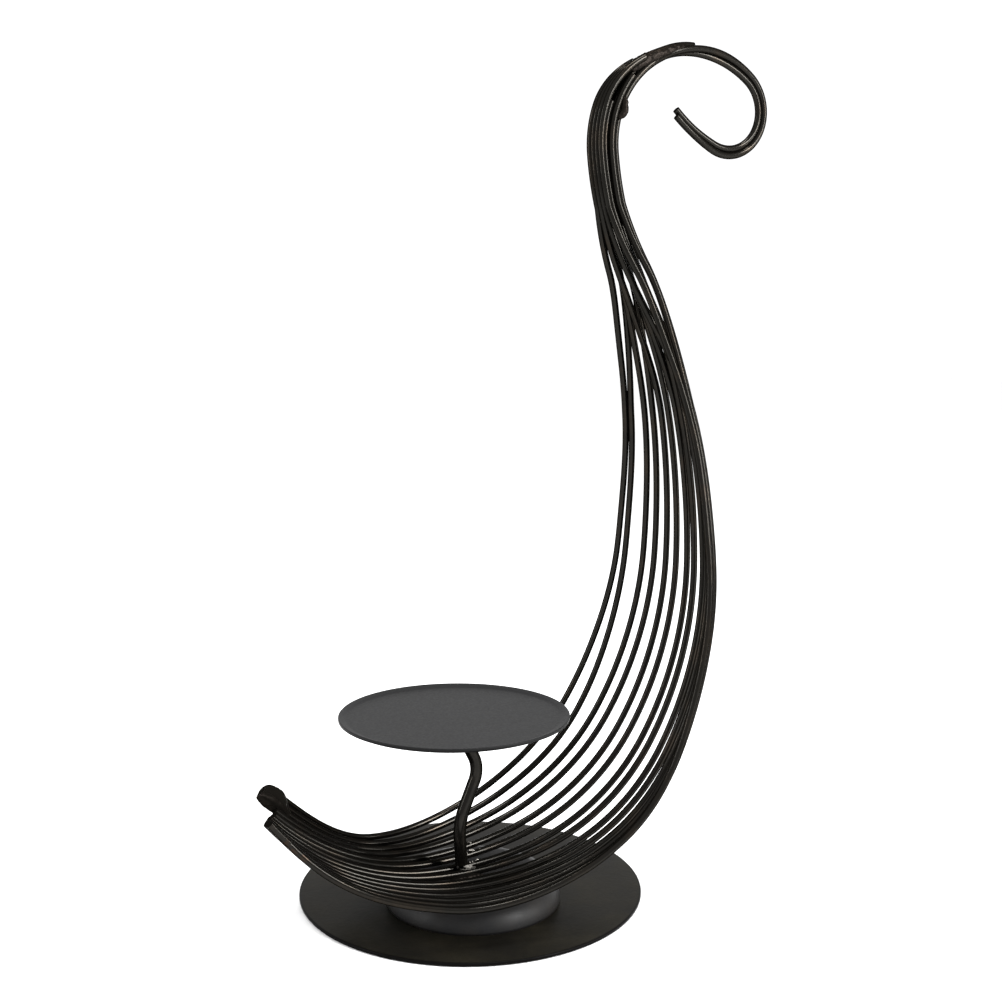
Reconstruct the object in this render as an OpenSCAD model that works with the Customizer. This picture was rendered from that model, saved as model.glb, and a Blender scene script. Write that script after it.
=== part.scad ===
// Tea light holder: a harp of bent iron rods gathered into a curled hook,
// standing off centre on a round plate, with a small dish for the light on a bent stem.
// Millimetres. Origin at the centre of the base plate's underside, Z up,
// X from the harp's tail towards its belly, Y away from the viewer of the side shown.

/* [Base] */
// Diameter of the round base plate
base_d = 140; // [110:1:180]
// Thickness of the base plate
base_t = 1.5; // [1:0.1:3]
// Bevel round the base plate's two edges
base_bevel = 0.3; // [0.1:0.05:0.45]
// Diameter of the dome under the rods
dome_d = 70; // [56:1:84]
// Height of the dome over the plate
dome_h = 11; // [8:0.5:15]
// Sheet thickness of the dome
dome_wall = 1.5; // [0.8:0.1:2.5]

/* [Candle dish] */
// Outer diameter of the dish
dish_d = 90.6; // [60:0.2:96]
// Sheet thickness of the dish
dish_t = 1.2; // [0.8:0.1:2]
// Height of the dish's rim over its floor
dish_rim_h = 1.2; // [0.6:0.1:3]
// Width of the sloping rim, seen from above
dish_rim_w = 2.6; // [1.5:0.1:5]

/* [Stem] */
// Diameter of the bent stem
stem_d = 5; // [4:0.1:6]
// Lean of the stem's foot, from the horizontal
stem_foot_lean = 94; // [88:1:98]
// Straight run above the foot
stem_foot_run = 10; // [6:0.5:16]
// Radius of the stem's lower bend
stem_low_r = 30; // [20:1:40]
// Turn of the lower bend
stem_low_arc = 27; // [15:1:35]
// Straight run between the two bends
stem_mid_run = 10.5; // [6:0.5:16]
// Radius of the stem's upper bend
stem_high_r = 12; // [8:0.5:18]
// Turn of the upper bend
stem_high_arc = 50; // [30:1:60]
// Height from the stem's upper bend to the underside of the dish
stem_top_rise = 16.2; // [10:0.2:22]

/* [Rods] */
// Diameter of every rod of the harp and the hook
rod_d = 2.75; // [2.2:0.05:3]
// Play between rods that lie side by side
rod_play = 0.05; // [0.02:0.01:0.2]
// X of the lowest point of the middle rods
keel_x = -10.7; // [-20:0.1:0]
// Y of the harp's middle plane
harp_y = -12.5; // [-20:0.5:0]
// Gap between the rods or a weld and what carries them
seat_gap = 0.2; // [0.1:0.05:0.3]

/* [Side line] */
// Direction of the tail's end, below the horizontal
tail_lean = 47.1; // [42:0.1:54]
// Radius of the tail
tail_r = 100; // [88:0.5:114]
// Turn of the tail
tail_arc = 43.5; // [37:0.1:49]
// Radius of the keel that lies on the dome
keel_r = 146; // [130:1:165]
// Turn of the keel
keel_arc = 16; // [12:0.1:20]
// Radius of the lower belly
belly_r = 89; // [80:0.5:98]
// Turn of the lower belly
belly_arc = 44.8; // [38:0.1:50]
// Radius of the back
back_r = 138; // [124:1:152]
// Turn of the back
back_arc = 33.1; // [28:0.1:38]
// Radius of the long rise to the neck
rise_r = 280; // [250:1:310]
// Turn of the rise
rise_arc = 26.1; // [22:0.1:30]
// Radius of the throat, which bends the other way
throat_r = 124; // [110:1:140]
// Turn of the throat
throat_arc = 20.7; // [17:0.1:24]
// Radius of the neck
neck_r = 38.4; // [34:0.1:43]
// Turn of the neck
neck_arc = 60.8; // [54:0.1:66]
// Radius of the hook's crown
crown_r = 41.4; // [38:0.1:45]
// Turn of the crown
crown_arc = 72.9; // [67:0.1:79]
// Radius of the curl
curl_r = 16.9; // [15.5:0.1:18.5]
// Turn of the curl
curl_arc = 167.2; // [160:0.1:174]
// Radius of the tip
tip_r = 73; // [64:0.5:82]
// Turn of the tip
tip_arc = 18; // [12:0.5:24]

/* [Fan] */
// Half width of the fan at the tail
tail_half = 21; // [18.8:0.1:23]
// Half width over the dome
keel_half = 41.2; // [36:0.1:44]
// Half width at the lower belly
belly_half = 47.8; // [43:0.1:51]
// Half width at the belly's widest
back_half = 41.8; // [37:0.1:46]
// Half width halfway up
rise_half = 33; // [29:0.5:37]
// Half width below the neck
throat_half = 20.5; // [18:0.5:23]
// Inward bow of the fan's edge rods at the tail
tail_bow = 3.9; // [2:0.1:6]
// Inward bow over the dome
keel_bow = 1.8; // [1:0.1:4]
// Inward bow at the lower belly
belly_bow = 11.6; // [10:0.1:15]
// Inward bow at the belly's widest
back_bow = 16.9; // [14:0.1:20]
// Inward bow halfway up
rise_bow = 14.8; // [12:0.1:18]
// Inward bow below the neck
throat_bow = 11.3; // [9:0.1:13]
// Arc that the rods share out across the fan, to one side of the middle
fan_arc = 60.4; // [52:0.1:68]
// Roll of the fan at the tail, the far side up
fan_lean = 11.5; // [6:0.5:18]
// Length over which the roll fades out
fan_lean_run = 62; // [45:1:80]
// Length over which the rods' even spacing at the tail fades out
even_run = 140; // [100:1:180]
// Length before the neck over which the rods start to lie in rows
row_start = 110; // [100:1:120]
// Length before the neck at which the rows are complete
row_end = 45; // [35:1:50]
// Length before the neck at which the fan is closed
close_end = 20; // [10:1:30]

/* [Hook and ends] */
// Length past the neck where the outermost rod starts down onto the pair
drop_start = 17; // [14:1:24]
// Length over which it comes down
drop_run = 34; // [28:1:40]
// Length past the neck where the pair starts to turn over
twist_start = 45; // [40:1:55]
// Length over which it turns over
twist_run = 55; // [45:1:65]
// Angle by which it turns over
twist_arc = 90; // [75:1:100]
// Angle by which it turns back at the tip
untwist_arc = 28; // [10:1:45]
// Length before the tip over which the pair turns back
untwist_run = 33; // [24:1:40]
// Length past the neck that the longer cut rods reach
head_reach = 40; // [38:1:42]
// Step between the two cut ends at the tip
tip_step = 1.5; // [0.5:0.5:6]
// Step of the cut ends at the tail
tail_stagger = 4; // [3:0.5:5]

/* [Welds] */
// Play between a weld bead and the rods that it joins
weld_play = 0.15; // [0.1:0.05:0.3]
// Length of the lump on the tail's far rods
tail_weld_l = 17.5; // [15:0.5:20]
// Width of that lump across the rods
tail_weld_w = 12.8; // [11:0.1:14]
// Thickness of that lump
tail_weld_t = 5; // [4:0.1:6]
// Length of rod that the lump covers
tail_weld_on = 4; // [3:0.1:6]
// Length of the bead over the cut ends at the crown
crown_weld_l = 14; // [11:0.5:15]
// Width of that bead
crown_weld_w = 5; // [4:0.5:6]
// Length past the neck where that bead sits
crown_weld_at = 37; // [35:0.5:39]
// Length of the knob on the neck
knob_l = 7.5; // [6:0.5:9]
// Width of the knob
knob_w = 5.5; // [4.5:0.5:7]
// Length past the neck where the knob sits
knob_at = 17; // [13:1:20]
// Length of the beads that hold the middle rods on the dome
keel_weld_l = 14; // [8:1:20]
// Width of those beads
keel_weld_w = 5; // [4:0.5:6]
// Diameter of the bead under the dish
head_weld_d = 9.5; // [8:0.5:12]
// Height of the bead under the dish
head_weld_h = 1.6; // [1:0.1:2.5]
// Length of the bead beside the stem's foot
foot_weld_l = 8; // [6:0.5:10]
// Width of that bead
foot_weld_w = 5; // [4:0.5:6]

/* [Hidden] */
$fn = 96;
// Overrun of every cut
over = 1;
// Half length of the chord that gives a rod's direction
probe = 0.05;
rod_colour = "#241f1c";
weld_colour = "#1d1a18";
// Distance of the dome's centre from the rods' lowest point
dome_shift = 5.9;
// Distance of the stem's foot from the rods' lowest point
foot_shift = 0.2;
bend_steps = 8;
stem_sides = 12;
lump_sides = 16;
rod_r = rod_d / 2;
rod_count = 14;
rod_sides = 8;
body_rings = 40;
// Ring spacing past the neck
hook_step = 4;
rod_pitch = rod_d + rod_play;
row_pitch = rod_pitch * sqrt(3) / 2;
neck_half = 1.5 * rod_pitch;

// Row of each rod in the neck bundle, counted from the hook's inner side
rod_row_shares = [3, 1, 2, 0, 3, 1, 2, 0, 1, 3, 0, 2, 1, 3];
top_row_share = 3;
// Half columns of the neck bundle, to one side of its middle
columns_share = 3;
inner_index = 7;
outer_index = 10;
crown_index = 9;
// Small irregularities of the bending, as shares of the fan: low down, and from there on up
low_nudge_shares = [0, -0.035, -0.048, -0.025, -0.041, -0.023, -0.043, -0.01, -0.027, 0, 0, 0, 0, 0];
high_nudge_shares = [0, 0.051, -0.025, -0.012, -0.01, 0.002, -0.01, 0.02, -0.01, 0, 0, 0, 0, 0];
nudge_from_share = 0.37;
nudge_over_share = 0.3;
// Where each rod is cut at the tail, as shares of tail_stagger
tail_cut_shares = [1, 0.9, 0.95, 0.6, 0.45, 0, -0.45, -0.75, -1.15, -1.35, -1.85, -2.2, -2.6, -2.8];
// Where each rod is cut past the neck, as shares of head_reach
head_cut_shares = [0.97, 0.65, 0.45, 0.86, 0.93, 0.65, 0.42, 0, 0.51, 1.6, 0, 0.45, 0.76, 0.97];
// Rings of the tail's lump, from its free end: place along it, and size as a share of the whole
lump_place_shares = [0, 0.05, 0.16, 0.34, 0.6, 0.92, 1];
lump_size_shares = [0.34, 0.55, 0.78, 0.95, 1, 0.97, 0.85];

// The side line: radii and turns in order, a turn to the left being positive
line_r = [tail_r, keel_r, belly_r, back_r, rise_r, -throat_r, -neck_r, -crown_r, -curl_r, -tip_r];
line_arc = [tail_arc, keel_arc, belly_arc, back_arc, rise_arc,
    -throat_arc, -neck_arc, -crown_arc, -curl_arc, -tip_arc];
line_last = len(line_r) - 1;
function arc_len(k) = k > line_last ? 0 : line_r[k] * line_arc[k] * PI / 180;
function arc_turn(k) = k > line_last ? 0 : line_arc[k];
line_start = [for (k = 0, s = 0; k <= line_last + 1; s = s + arc_len(k), k = k + 1) s];
line_head = [for (k = 0, h = -tail_lean; k <= line_last + 1; h = h + arc_turn(k), k = k + 1) h];
line_x = [for (k = 0, x = 0; k <= line_last;
    x = x + line_r[k] * (sin(line_head[k + 1]) - sin(line_head[k])), k = k + 1) x];
line_z = [for (k = 0, z = 0; k <= line_last;
    z = z + line_r[k] * (cos(line_head[k]) - cos(line_head[k + 1])), k = k + 1) z];
body_len = line_start[6];
line_len = line_start[line_last + 1];

function arc_at(l) = max([0, for (k = [0:line_last]) if (l > line_start[k]) k]);
function line_dir(l) = let (k = arc_at(l)) line_head[k] + (l - line_start[k]) / line_r[k] * 180 / PI;
function line_raw(l) = let (k = arc_at(l), h = line_dir(l), g = line_head[k])
    [line_x[k] + line_r[k] * (sin(h) - sin(g)), line_z[k] + line_r[k] * (cos(g) - cos(h))];

// The line's lowest point, where its direction is level
keel_k = line_head[1] > 0 ? 0 : 1;
keel_at = line_start[keel_k] - line_head[keel_k] / 180 * PI * line_r[keel_k];
keel_low = line_raw(keel_at);
dome_top = base_t + dome_h;
keel_z = dome_top + seat_gap + rod_r;
function line_point(l) = line_raw(l) - keel_low + [keel_x, keel_z];

function smooth(x) = let (c = min(max(x, 0), 1)) c * c * (3 - 2 * c);
function unit(v) = v / norm(v);

// A smooth run through evenly spaced values
function run_value(v, t) = let (
    n = len(v) - 1,
    x = min(max(t, 0), 1) * n,
    k = min(floor(x), n - 1),
    f = x - k,
    a = k > 0 ? v[k - 1] : 2 * v[0] - v[1], b = v[k], c = v[k + 1],
    d = k < n - 1 ? v[k + 2] : 2 * v[n] - v[n - 1])
    (2 * b + (c - a) * f + (2 * a - 5 * b + 4 * c - d) * f * f + (3 * b - a - 3 * c + d) * f * f * f) / 2;
fan_halves = [tail_half, keel_half, belly_half, back_half, rise_half, throat_half, neck_half];
fan_bows = [tail_bow, keel_bow, belly_bow, back_bow, rise_bow, throat_bow, 2 * throat_bow];
fan_len = body_len - close_end;

// Angle by which the hook's two rods have turned over at length l
function pair_arc(l) = twist_arc * smooth((l - body_len - twist_start) / twist_run)
    - untwist_arc * smooth((l - line_len + untwist_run) / (untwist_run * 3 / 4));

// Rod i's share across the fan at length l: along the arc, and even at the tail
function across_share(u, l) = let (even = 1 - smooth(l / even_run))
    (1 - even) * sin(fan_arc * u) / sin(fan_arc) + even * u;

// Side step across the harp and rise inwards from the side line, for rod i at length l
function fan_offset(i, l) = let (
    t = min(max(l / fan_len, 0), 1),
    b = smooth((l - body_len + row_start) / (row_start - row_end)),
    by = pow(b, 1.5),
    mid = (rod_count - 1) / 2,
    m = smooth((t - nudge_from_share) / nudge_over_share),
    nudge = (1 - m) * low_nudge_shares[i] + m * high_nudge_shares[i],
    u = (mid - i) / mid + nudge * (1 - b) * smooth(t * 6.5),
    down = 2 * smooth((l - body_len - drop_start) / drop_run),
    row = rod_row_shares[i] - (rod_row_shares[i] == top_row_share ? down : 0),
    lean = fan_lean * (1 - smooth(l / fan_lean_run)),
    y = run_value(fan_halves, t) * ((1 - by) * across_share(u, l) + by * (1 - floor(i / 2) / columns_share)),
    h = run_value(fan_bows, t) * (1 - cos(fan_arc * u)) / (1 - cos(fan_arc)) * (1 - b)
        + row * row_pitch * b)
    [y * cos(lean) - h * sin(lean), h * cos(lean) + y * sin(lean)];

// The same for a rod of the pair, a turn apart from its mate, and for the crown rod over them
function rod_offset(i, l) = let (
    o = fan_offset(i, l),
    turn = pair_arc(l),
    near = smooth((l - body_len + twist_start / 10) / (twist_start * 2 / 3)),
    g = i == inner_index || i == outer_index ? near : 0,
    side = i == outer_index ? 1 : -1,
    half = rod_pitch / 2,
    pair = [-half - side * half * cos(turn), side * half * sin(turn)])
    i == crown_index ? [o[0] + o[1] * sin(turn), o[1] * cos(turn)] : (1 - g) * o + g * pair;

function rod_point(i, l) = let (p = line_point(l), o = rod_offset(i, l), d = line_dir(l))
    [p[0] - sin(d) * o[1], harp_y + o[0], p[1] + cos(d) * o[1]];
function rod_way(i, l) = unit(rod_point(i, l + probe) - rod_point(i, l - probe));
function tail_cut(i) = tail_cut_shares[i] * tail_stagger;
function head_cut(i) = i == inner_index ? line_len : i == outer_index ? line_len - tip_step
    : body_len + head_cut_shares[i] * head_reach;

// The corners of one ring of a tube, round its centre and square to its way
function ring(at, way, r, sides) = let (a = unit(cross(way, [0, 1, 0])), b = cross(way, a))
    [for (k = [0:sides - 1]) at + r * (cos(360 * (k + 0.5) / sides) * a + sin(360 * (k + 0.5) / sides) * b)];

// The corners of a flattened ring, its width along across
function oval(at, way, across, width, thick, sides) = let (b = unit(cross(way, across)))
    [for (k = [0:sides - 1]) let (c = cos(360 * (k + 0.5) / sides), s = sin(360 * (k + 0.5) / sides))
        at + width / 2 * sign(c) * pow(abs(c), 0.7) * across
            + thick / 2 * sign(s) * pow(abs(s), 0.7) * b];

// A closed skin over rings of corners, with a flat cap round a middle point at each end
module skin(rings, first_mid, last_mid) {
    n = len(rings);
    sides = len(rings[0]);
    first = n * sides;
    points = concat([for (r = rings) each r], [first_mid, last_mid]);
    walls = [for (j = [0:n - 2]) for (k = [0:sides - 1]) let (
        m = (k + 1) % sides, p = j * sides + k, q = j * sides + m)
        each [[p, p + sides, q + sides], [p, q + sides, q]]];
    caps = [for (k = [0:sides - 1]) let (m = (k + 1) % sides, z = (n - 1) * sides)
        each [[first, k, m], [first + 1, z + m, z + k]]];
    polyhedron(points, concat(walls, caps));
}

// A tube of radius r round rod i through rings at the given lengths
module rod_tube(i, at, r) {
    skin([for (l = at) ring(rod_point(i, l), rod_way(i, l), r, rod_sides)],
        rod_point(i, at[0]), rod_point(i, at[len(at) - 1]));
}

module rod(i) {
    from = tail_cut(i);
    to = head_cut(i);
    steps = ceil((to - body_len) / hook_step);
    at = concat([for (j = [0:body_rings]) from + (body_len - from) * j / body_rings],
        [for (j = [1:steps]) body_len + (to - body_len) * j / steps]);
    rod_tube(i, at, rod_r);
}

// Room for a stretch of rod i, with the weld's play
module rod_room(i, from, to) {
    a = max(from, tail_cut(i));
    b = min(to, head_cut(i));
    steps = max(1, ceil((b - a) / hook_step));
    if (b > a) rod_tube(i, [for (j = [0:steps]) a + (b - a) * j / steps], rod_r + weld_play);
}

// An egg-shaped bead of the given length and width, lying along way
module bead(length, width, at, way) {
    turn_z = atan2(way[1], way[0]);
    turn_y = acos(way[2] / norm(way));
    translate(at) rotate([0, turn_y, turn_z]) rotate_extrude()
        polygon([for (a = [0:18:180]) [width / 2 * sin(a), length / 2 * cos(a)]]);
}

module base_plate() {
    r = base_d / 2;
    color("#3d3a36") rotate_extrude()
        polygon([[0, 0], [r - base_bevel, 0], [r, base_bevel], [r, base_t - base_bevel],
            [r - base_bevel, base_t], [0, base_t]]);
}

module dome_body(r, h) {
    cylinder(r = r - h, h = h);
    rotate_extrude() translate([r - h, 0]) intersection() {
        circle(h);
        square(h);
    }
}

module base_dome() {
    color("#2b2826") translate([keel_x + dome_shift, harp_y, base_t]) difference() {
        dome_body(dome_d / 2, dome_h);
        translate([0, 0, -over]) cylinder(r = dome_d / 2 - dome_h, h = over + dome_h - dome_wall);
        dome_body(dome_d / 2 - dome_wall, dome_h - dome_wall);
    }
}

// The stem's centre line, from the foot up
stem_r = stem_d / 2;
foot_spread = norm(rod_point(6, keel_at) - rod_point(7, keel_at)) / 2;
foot_mid_y = (rod_point(6, keel_at)[1] + rod_point(7, keel_at)[1]) / 2;
foot_touch = stem_r + rod_r + seat_gap;
foot_rise = foot_touch > foot_spread ? sqrt(pow(foot_touch, 2) - pow(foot_spread, 2)) : 0;
foot_at = [keel_x + foot_shift, keel_z + foot_rise];
stem_mid_dir = stem_foot_lean - stem_low_arc;
stem_top_dir = stem_mid_dir + stem_high_arc;
function ahead(p, dir, run) = p + run * [cos(dir), sin(dir)];
function bent(p, from, to, r) = p + (to > from ? 1 : -1) * r * [sin(to) - sin(from), cos(from) - cos(to)];
stem_a = ahead(foot_at, stem_foot_lean, stem_foot_run);
stem_b = bent(stem_a, stem_foot_lean, stem_mid_dir, stem_low_r);
stem_c = ahead(stem_b, stem_mid_dir, stem_mid_run);
stem_d_at = bent(stem_c, stem_mid_dir, stem_top_dir, stem_high_r);
stem_top_run = stem_top_rise / sin(stem_top_dir);
stem_top = ahead(stem_d_at, stem_top_dir, stem_top_run);
dish_under = stem_top[1];

// The centre line's places and directions, a bend having bend_steps of them
function bend_line(p, from, to, r) = [for (k = [1:bend_steps]) let (d = from + (to - from) * k / bend_steps)
    [bent(p, from, d, r), d]];
stem_line = concat([[foot_at, stem_foot_lean], [stem_a, stem_foot_lean]],
    bend_line(stem_a, stem_foot_lean, stem_mid_dir, stem_low_r), [[stem_c, stem_mid_dir]],
    bend_line(stem_c, stem_mid_dir, stem_top_dir, stem_high_r));
function in_space(p) = [p[0], foot_mid_y, p[1]];
top_way = [cos(stem_top_dir), 0, sin(stem_top_dir)];

module stem_rod() {
    // The last ring is cut level, to lie flat under the dish
    top_ring = [for (p = ring(in_space(stem_d_at), top_way, stem_r, stem_sides))
        p + top_way * (dish_under - p[2]) / top_way[2]];
    rings = [for (s = stem_line) ring(in_space(s[0]), [cos(s[1]), 0, sin(s[1])], stem_r, stem_sides)];
    color(rod_colour) skin(concat(rings, [top_ring]), in_space(foot_at), in_space(stem_top));
}

module candle_dish() {
    r = dish_d / 2;
    floor_r = r - dish_rim_w;
    rise = dish_rim_h;
    color("#4a4a4a") translate([stem_top[0], foot_mid_y, dish_under]) rotate_extrude()
        polygon([[0, 0], [floor_r, 0], [r, rise], [r, rise + dish_t], [r - dish_t / 2, rise + dish_t],
            [floor_r - dish_t / 2, dish_t], [0, dish_t]]);
}

module stem_head_weld() {
    color(weld_colour) difference() {
        translate([stem_top[0], foot_mid_y, dish_under - head_weld_h])
            cylinder(r1 = (stem_d + head_weld_d) / 4, r2 = head_weld_d / 2, h = head_weld_h);
        translate([stem_d_at[0], foot_mid_y, stem_d_at[1]]) rotate([0, 90 - stem_top_dir, 0])
            cylinder(r = stem_r + weld_play, h = stem_top_run + stem_d);
    }
}

module stem_foot_weld() {
    at = [foot_at[0] + stem_r + foot_weld_w / 4, foot_mid_y, keel_z + rod_r];
    color(weld_colour) difference() {
        bead(foot_weld_l, foot_weld_w, at, [1, 0, 0]);
        translate([foot_at[0], foot_mid_y, foot_at[1]]) rotate([0, 90 - stem_foot_lean, 0])
            translate([0, 0, -stem_d]) cylinder(r = stem_r + weld_play, h = 2 * stem_d + foot_weld_l);
        for (i = [6, 7]) rod_room(i, keel_at - foot_weld_l, keel_at + 2 * foot_weld_l);
    }
}

// A bead on the dome along the outer side of rod i
module keel_weld(i, side) {
    p = rod_point(i, keel_at);
    difference() {
        bead(keel_weld_l, keel_weld_w, [p[0], p[1] + side * (rod_r + keel_weld_w / 4), dome_top], [1, 0, 0]);
        translate([p[0], p[1], dome_top - keel_weld_w]) cylinder(r = keel_weld_l, h = keel_weld_w);
        rod_room(i, keel_at - keel_weld_l, keel_at + keel_weld_l);
        rod_room(i - side, keel_at - keel_weld_l, keel_at + keel_weld_l);
    }
}

// The lump lies straight along the far four rods, its lower edge along the fourth
module tail_weld() {
    l = tail_cut(1);
    way = rod_way(1, l + tail_weld_on / 2);
    v = rod_point(3, l) - rod_point(0, l);
    across = unit(v - (v * way) * way);
    mid = (rod_point(0, l) + rod_point(3, l)) / 2 + (tail_weld_on - tail_weld_l) * way;
    last = len(lump_place_shares) - 1;
    function lump_at(k) = mid + lump_place_shares[k] * tail_weld_l * way
        + (1 - lump_size_shares[k]) * tail_weld_w / 2 * across;
    rings = [for (k = [0:last]) let (f = lump_size_shares[k])
        oval(lump_at(k), way, across, f * tail_weld_w, (1 + f) / 2 * tail_weld_t, lump_sides)];
    color(weld_colour) difference() {
        skin(rings, lump_at(0), lump_at(last));
        for (i = [0:5]) rod_room(i, tail_cut(i), tail_cut(i) + tail_weld_l);
    }
}

module crown_weld() {
    l = body_len + crown_weld_at;
    p = (rod_point(crown_index, l) + rod_point(outer_index, l)) / 2 - [0, rod_r, 0];
    beside = [0, 1, 3, 4, 5, inner_index, crown_index, outer_index, 12, 13];
    color(weld_colour) difference() {
        bead(crown_weld_l, crown_weld_w, p, rod_way(crown_index, l));
        for (i = beside) rod_room(i, l - crown_weld_l, l + crown_weld_l);
    }
}

module neck_knob() {
    l = body_len + knob_at;
    side = rod_r / 2;
    p = rod_point(outer_index, l)
        + [side * sin(line_dir(l)), -rod_pitch, -side * cos(line_dir(l))];
    color(weld_colour) difference() {
        bead(knob_l, knob_w, p, rod_way(outer_index, l));
        for (i = [3, inner_index, 8, outer_index, 11, 12, 13]) rod_room(i, l - knob_l, l + knob_l);
    }
}

module harp_rod_01() {
    color(rod_colour) rod(0);
}

module harp_rod_02() {
    color(rod_colour) rod(1);
}

module harp_rod_03() {
    color(rod_colour) rod(2);
}

module harp_rod_04() {
    color(rod_colour) rod(3);
}

module harp_rod_05() {
    color(rod_colour) rod(4);
}

module harp_rod_06() {
    color(rod_colour) rod(5);
}

module harp_rod_07() {
    color(rod_colour) rod(6);
}

module hook_rod_08() {
    color(rod_colour) rod(7);
}

module harp_rod_09() {
    color(rod_colour) rod(8);
}

module harp_rod_10() {
    color(rod_colour) rod(9);
}

module hook_rod_11() {
    color(rod_colour) rod(10);
}

module harp_rod_12() {
    color(rod_colour) rod(11);
}

module harp_rod_13() {
    color(rod_colour) rod(12);
}

module harp_rod_14() {
    color(rod_colour) rod(13);
}

module keel_weld_far() {
    color(weld_colour) keel_weld(6, 1);
}

module keel_weld_near() {
    color(weld_colour) keel_weld(7, -1);
}

base_plate();
base_dome();
candle_dish();
stem_rod();
harp_rod_01();
harp_rod_02();
harp_rod_03();
harp_rod_04();
harp_rod_05();
harp_rod_06();
harp_rod_07();
hook_rod_08();
harp_rod_09();
harp_rod_10();
hook_rod_11();
harp_rod_12();
harp_rod_13();
harp_rod_14();
tail_weld();
keel_weld_far();
keel_weld_near();
stem_foot_weld();
stem_head_weld();
crown_weld();
neck_knob();
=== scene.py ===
# Looks of the tea light holder: a harp of bent iron rods gathered into a curled hook,
# standing off centre on a round plate, with a small dish for the light on a bent stem.
import math

import bmesh
import bpy
import numpy as np
from mathutils import Matrix, Vector, noise


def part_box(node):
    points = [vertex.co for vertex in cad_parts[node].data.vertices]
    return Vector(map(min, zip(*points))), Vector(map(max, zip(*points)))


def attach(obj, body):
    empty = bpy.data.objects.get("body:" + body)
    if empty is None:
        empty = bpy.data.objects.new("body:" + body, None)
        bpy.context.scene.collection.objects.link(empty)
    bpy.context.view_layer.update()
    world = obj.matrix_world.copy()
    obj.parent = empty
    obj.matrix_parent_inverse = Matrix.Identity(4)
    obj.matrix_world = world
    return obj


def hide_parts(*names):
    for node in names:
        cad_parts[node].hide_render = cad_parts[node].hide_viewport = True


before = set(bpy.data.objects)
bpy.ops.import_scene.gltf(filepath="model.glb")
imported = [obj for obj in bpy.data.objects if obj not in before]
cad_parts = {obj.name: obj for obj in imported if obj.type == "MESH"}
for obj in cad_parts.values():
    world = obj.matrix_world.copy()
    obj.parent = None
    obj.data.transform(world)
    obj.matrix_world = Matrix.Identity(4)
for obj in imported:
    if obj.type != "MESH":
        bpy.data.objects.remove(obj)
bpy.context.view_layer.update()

bl_info = {
    "name": "Tea light holder",
    "version": (1, 0, 0),
    "blender": (4, 5, 0),
    "location": "3D View > Sidebar > Holder",
    "description": "Builds a wrought iron tea light holder with a harp of bent rods, piece by piece",
    "category": "Object",
}

# Boxes of the solids, as a low and a high corner, and the three ways of the frame. Lengths are in metres.
PLATE_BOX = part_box("base_plate")
DISH_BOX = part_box("candle_dish")
DOME_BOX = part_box("base_dome")
STEM_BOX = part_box("stem_rod")
RIGHT, BACK, UP = (1, 0, 0), (0, 1, 0), (0, 0, 1)


# Settings that a user would change

class BaseSettings(bpy.types.PropertyGroup):
    """Sizes and colours of the plate and the dome."""
    bevel: bpy.props.FloatProperty(
        name="Edge rounding", description="Rounding of the plate's two edges",
        default=0.0005, min=0.0001, max=0.0007, unit="LENGTH", precision=5)
    facets: bpy.props.IntProperty(
        name="Facets", description="Number of steps round the plate", default=256, min=48, max=512)
    colour: bpy.props.FloatVectorProperty(
        name="Colour", description="Main colour of the plate", subtype="COLOR",
        default=(0.0058, 0.0053, 0.0041), min=0, max=1)
    patina: bpy.props.FloatVectorProperty(
        name="Patina", description="Warmer colour of the plate's cloudy patches", subtype="COLOR",
        default=(0.0124, 0.0109, 0.0074), min=0, max=1)


class DishSettings(bpy.types.PropertyGroup):
    """Sizes and colour of the dish for the tea light."""
    sheet: bpy.props.FloatProperty(
        name="Sheet", description="Thickness of the dish's sheet", default=0.0012, min=0.0006, max=0.002,
        unit="LENGTH", precision=5)
    rim_width: bpy.props.FloatProperty(
        name="Rim width", description="Width of the turned-up rim, seen from above", default=0.0026,
        min=0.001, max=0.005, unit="LENGTH", precision=5)
    colour: bpy.props.FloatVectorProperty(
        name="Colour", description="Colour of the dish", subtype="COLOR",
        default=(0.0087, 0.0087, 0.0090), min=0, max=1)


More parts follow.
